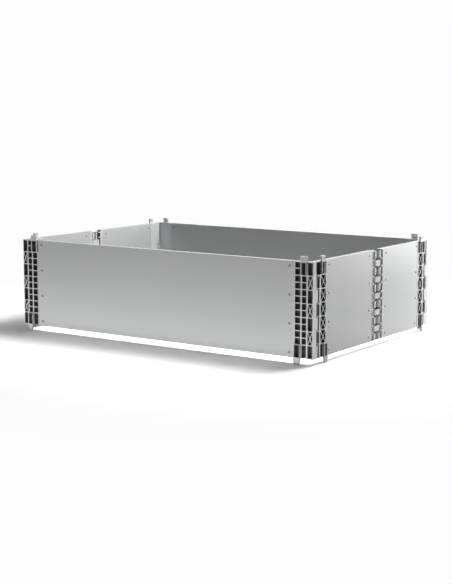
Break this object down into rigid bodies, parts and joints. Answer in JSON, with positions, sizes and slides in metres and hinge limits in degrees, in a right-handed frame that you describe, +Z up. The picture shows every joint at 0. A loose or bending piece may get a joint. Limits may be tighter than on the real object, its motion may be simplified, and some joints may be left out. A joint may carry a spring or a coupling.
{
  "type": "plastic pallet collar",
  "caption": "Folding rectangular pallet collar: smooth hollow plastic sides on ribbed corner hinges, short sides split by double-pivot mid hinges, with stacking tabs and feet.",
  "frame": {"origin": "middle of the collar in plan, on the floor that its feet stand on", "axes": "+X along the long sides, +Y from the front long side to the back one, +Z up"},
  "size_m": [1.232, 0.832, 0.347],
  "materials": {
    "panel_plastic": "smooth satin extruded plastic, light grey",
    "leaf_plastic": "fine-grained moulded plastic, light grey, darker in the pockets",
    "link_plastic": "fine-grained moulded plastic, light grey",
    "pin_steel": "drawn zinc-plated steel"
  },
  "bodies": {
    "front_side": {"front_panel": "panel_plastic", "front_left_long_leaf": "leaf_plastic", "front_right_long_leaf": "leaf_plastic", "front_left_corner_pin": "pin_steel", "front_right_corner_pin": "pin_steel"},
    "right_front_half": {"front_right_short_leaf": "leaf_plastic", "right_front_panel": "panel_plastic", "right_mid_front_leaf": "leaf_plastic"},
    "right_mid_hinge": {"right_mid_link": "link_plastic", "right_mid_front_pin": "pin_steel", "right_mid_rear_pin": "pin_steel"},
    "right_rear_half": {"right_mid_rear_leaf": "leaf_plastic", "right_rear_panel": "panel_plastic", "back_right_short_leaf": "leaf_plastic"},
    "back_side": {"back_panel": "panel_plastic", "back_left_long_leaf": "leaf_plastic", "back_right_long_leaf": "leaf_plastic", "back_left_corner_pin": "pin_steel", "back_right_corner_pin": "pin_steel"},
    "left_front_half": {"front_left_short_leaf": "leaf_plastic", "left_front_panel": "panel_plastic", "left_mid_front_leaf": "leaf_plastic"},
    "left_mid_hinge": {"left_mid_link": "link_plastic", "left_mid_front_pin": "pin_steel", "left_mid_rear_pin": "pin_steel"},
    "left_rear_half": {"left_mid_rear_leaf": "leaf_plastic", "left_rear_panel": "panel_plastic", "back_left_short_leaf": "leaf_plastic"}
  },
  "joints": [
    {"name": "right_mid_front_pivot", "type": "hinge", "parent": "right_mid_hinge", "child": "right_front_half", "pos_m": [0.6005, 0.006, 0.175], "axis": [0, 0, 1], "range_deg": [0, 90]},
    {"name": "front_right_corner_fold", "type": "hinge", "parent": "right_front_half", "child": "front_side", "pos_m": [0.6005, -0.3805, 0.175], "axis": [0, 0, 1], "range_deg": [-90, 0]},
    {"name": "front_left_corner_fold", "type": "hinge", "parent": "front_side", "child": "left_front_half", "pos_m": [-0.6005, -0.3805, 0.175], "axis": [0, 0, 1], "range_deg": [-90, 0]},
    {"name": "left_mid_front_pivot", "type": "hinge", "parent": "left_front_half", "child": "left_mid_hinge", "pos_m": [-0.6005, -0.034, 0.175], "axis": [0, 0, 1], "range_deg": [0, 90]},
    {"name": "right_mid_rear_pivot", "type": "hinge", "parent": "right_mid_hinge", "child": "right_rear_half", "pos_m": [0.6005, 0.034, 0.175], "axis": [0, 0, 1], "range_deg": [-90, 0]},
    {"name": "back_right_corner_fold", "type": "hinge", "parent": "right_rear_half", "child": "back_side", "pos_m": [0.6005, 0.3805, 0.175], "axis": [0, 0, 1], "range_deg": [0, 90]},
    {"name": "back_left_corner_fold", "type": "hinge", "parent": "back_side", "child": "left_rear_half", "pos_m": [-0.6005, 0.3805, 0.175], "axis": [0, 0, 1], "range_deg": [0, 90]}
  ],
  "couplings": [
    {"joint": "front_right_corner_fold", "follows": "right_mid_front_pivot", "ratio": -1},
    {"joint": "front_left_corner_fold", "follows": "right_mid_front_pivot", "ratio": -1},
    {"joint": "left_mid_front_pivot", "follows": "right_mid_front_pivot", "ratio": 1},
    {"joint": "right_mid_rear_pivot", "follows": "right_mid_front_pivot", "ratio": -1},
    {"joint": "back_right_corner_fold", "follows": "right_mid_front_pivot", "ratio": 1},
    {"joint": "back_left_corner_fold", "follows": "right_mid_front_pivot", "ratio": 1}
  ]
}
